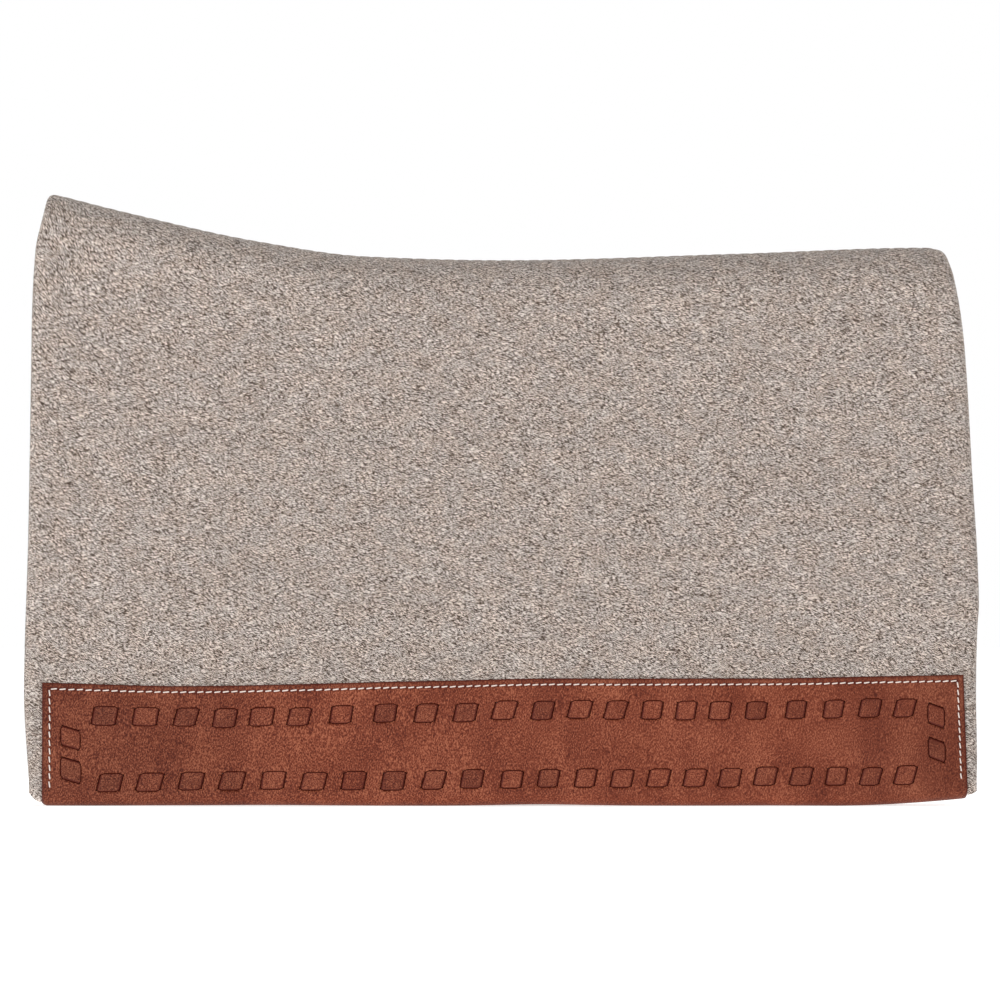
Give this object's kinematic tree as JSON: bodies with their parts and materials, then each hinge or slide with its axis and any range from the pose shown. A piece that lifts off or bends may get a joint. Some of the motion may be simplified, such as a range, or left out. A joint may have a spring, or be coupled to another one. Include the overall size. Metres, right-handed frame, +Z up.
{
  "type": "saddle pad",
  "caption": "Contoured Western saddle pad of woven wool over felt, with laced wear leathers along its hems and sides that fold at the spine.",
  "frame": {"origin": "middle of the pad's box, on the surface that its two hems stand on", "axes": "+X from the withers to the loin, -Y the near (left) side, +Z up"},
  "size_m": [0.8138, 0.2276, 0.5214],
  "materials": {
    "cover": "heathered woven wool",
    "felt": "pressed wool felt",
    "lining": "needled wool, brushed",
    "leather": "oiled, fine grain",
    "lace": "oiled strip",
    "thread": "waxed thread",
    "wool_thread": "matt thread"
  },
  "bodies": {
    "spine": {"near_cover_top": "cover", "near_core_top": "felt", "near_lining_top": "lining", "off_cover_top": "cover", "off_core_top": "felt", "off_lining_top": "lining", "spine_seam_thread": "thread", "spine_seam_bobbin": "thread", "front_edge_thread_top": "wool_thread", "front_edge_bobbin_top": "wool_thread", "rear_edge_thread_top": "wool_thread", "rear_edge_bobbin_top": "wool_thread"},
    "near_side": {"near_cover": "cover", "near_core": "felt", "near_lining": "lining", "near_wear_leather": "leather", "near_lace_upper": "lace", "near_lace_lower": "lace", "near_lace_front": "lace", "near_lace_rear": "lace", "near_leather_thread": "thread", "near_leather_bobbin": "thread", "near_front_edge_thread": "wool_thread", "near_front_edge_bobbin": "wool_thread", "near_rear_edge_thread": "wool_thread", "near_rear_edge_bobbin": "wool_thread"},
    "off_side": {"off_cover": "cover", "off_core": "felt", "off_lining": "lining", "off_wear_leather": "leather", "off_lace_upper": "lace", "off_lace_lower": "lace", "off_lace_front": "lace", "off_lace_rear": "lace", "off_leather_thread": "thread", "off_leather_bobbin": "thread", "off_front_edge_thread": "wool_thread", "off_front_edge_bobbin": "wool_thread", "off_rear_edge_thread": "wool_thread", "off_rear_edge_bobbin": "wool_thread"}
  },
  "joints": [
    {"name": "near_side_fold", "type": "hinge", "parent": "spine", "child": "near_side", "pos_m": [0, -0.04471, 0.42], "axis": [-1, 0, 0], "range_deg": [-9, 60]},
    {"name": "off_side_fold", "type": "hinge", "parent": "spine", "child": "off_side", "pos_m": [0, 0.04471, 0.42], "axis": [1, 0, 0], "range_deg": [-9, 60]}
  ]
}
